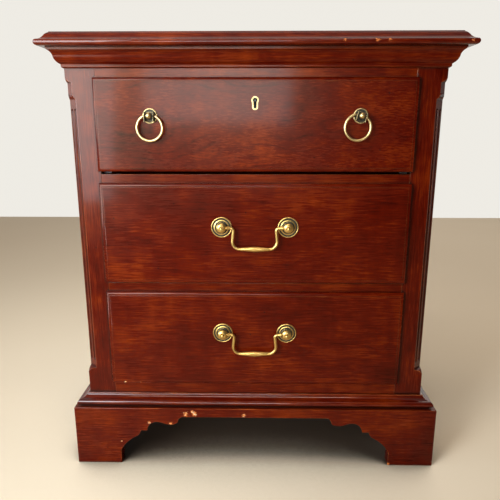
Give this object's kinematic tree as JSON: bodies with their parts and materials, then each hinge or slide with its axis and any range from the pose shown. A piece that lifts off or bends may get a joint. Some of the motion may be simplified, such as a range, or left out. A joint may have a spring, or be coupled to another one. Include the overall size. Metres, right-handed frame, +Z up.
{
  "type": "nightstand with drawers",
  "caption": "Traditional nightstand: drawers with ring and bail pulls in a case with fluted corners, ogee cornice, moulded top and scrolled bracket base.",
  "frame": {"origin": "on the floor, below the middle of the overall width and depth", "axes": "+X to the right of someone facing the drawers, +Y to the back, +Z up"},
  "size_m": [0.65, 0.4074, 0.725],
  "materials": {
    "cherry_lacquer": "dark red cherry stain under satin-gloss lacquer",
    "drawer_lining": "clear-finished pale hardwood",
    "secondary_wood": "unfinished sawn softwood",
    "plywood": "thin plywood, unfinished",
    "antique_brass": "polished brass with darkened recesses",
    "steel": "plain steel"
  },
  "bodies": {
    "case": {"back_panel": "plywood", "base_moulding_front": "cherry_lacquer", "base_moulding_left": "cherry_lacquer", "base_moulding_right": "cherry_lacquer", "bottom_panel": "plywood", "bottom_rail": "cherry_lacquer", "bracket_base_front": "cherry_lacquer", "bracket_base_left": "cherry_lacquer", "bracket_base_rear": "secondary_wood", "bracket_base_right": "cherry_lacquer", "corner_glue_blocks": "secondary_wood", "cornice_front": "cherry_lacquer", "cornice_left": "cherry_lacquer", "cornice_right": "cherry_lacquer", "drawer_guides": "secondary_wood", "drawer_kickers": "secondary_wood", "drawer_runners": "secondary_wood", "dust_panels": "plywood", "front_post_left": "cherry_lacquer", "front_post_right": "cherry_lacquer", "lower_drawer_rail": "cherry_lacquer", "rear_top_rail": "secondary_wood", "side_panel_left": "cherry_lacquer", "side_panel_right": "cherry_lacquer", "top_board": "cherry_lacquer", "top_rail": "cherry_lacquer", "top_screws": "steel", "upper_drawer_rail": "cherry_lacquer"},
    "upper_drawer": {"keyhole_escutcheon": "antique_brass", "lock_case": "steel", "ring_pull_nuts": "antique_brass", "ring_pull_plates": "antique_brass", "ring_pull_posts": "antique_brass", "upper_drawer_back": "drawer_lining", "upper_drawer_bottom": "plywood", "upper_drawer_front": "cherry_lacquer", "upper_drawer_side_left": "drawer_lining", "upper_drawer_side_right": "drawer_lining"},
    "middle_drawer": {"middle_bail_nuts": "antique_brass", "middle_bail_posts": "antique_brass", "middle_bail_rosettes": "antique_brass", "middle_drawer_back": "drawer_lining", "middle_drawer_bottom": "plywood", "middle_drawer_front": "cherry_lacquer", "middle_drawer_side_left": "drawer_lining", "middle_drawer_side_right": "drawer_lining"},
    "lower_drawer": {"lower_bail_nuts": "antique_brass", "lower_bail_posts": "antique_brass", "lower_bail_rosettes": "antique_brass", "lower_drawer_back": "drawer_lining", "lower_drawer_bottom": "plywood", "lower_drawer_front": "cherry_lacquer", "lower_drawer_side_left": "drawer_lining", "lower_drawer_side_right": "drawer_lining"},
    "pull_ring_left": {"pull_ring_left": "antique_brass"},
    "pull_ring_right": {"pull_ring_right": "antique_brass"},
    "lock_bolt": {"lock_bolt": "steel"},
    "middle_bail": {"middle_bail": "antique_brass"},
    "lower_bail": {"lower_bail": "antique_brass"}
  },
  "joints": [
    {"name": "upper_drawer_slide", "type": "slide", "parent": "case", "child": "upper_drawer", "axis": [0, -1, 0], "range_m": [0, 0.29]},
    {"name": "middle_drawer_slide", "type": "slide", "parent": "case", "child": "middle_drawer", "axis": [0, -1, 0], "range_m": [0, 0.29]},
    {"name": "lower_drawer_slide", "type": "slide", "parent": "case", "child": "lower_drawer", "axis": [0, -1, 0], "range_m": [0, 0.29]},
    {"name": "left_ring_swing", "type": "hinge", "parent": "upper_drawer", "child": "pull_ring_left", "pos_m": [-0.162, -0.19025, 0.6026], "axis": [-1, 0, 0], "range_deg": [-8, 188]},
    {"name": "right_ring_swing", "type": "hinge", "parent": "upper_drawer", "child": "pull_ring_right", "pos_m": [0.16172, -0.19025, 0.60264], "axis": [-0.9613, 0, 0.2756], "range_deg": [-8, 188]},
    {"name": "lock_bolt_throw", "type": "slide", "parent": "upper_drawer", "child": "lock_bolt", "axis": [0, 0, 1], "range_m": [0, 0.0065]},
    {"name": "middle_bail_swing", "type": "hinge", "parent": "middle_drawer", "child": "middle_bail", "pos_m": [0, -0.19125, 0.4293], "axis": [-1, 0, 0], "range_deg": [-7, 187]},
    {"name": "lower_bail_swing", "type": "hinge", "parent": "lower_drawer", "child": "lower_bail", "pos_m": [0, -0.19125, 0.2462], "axis": [-1, 0, 0], "range_deg": [-7, 187]}
  ]
}
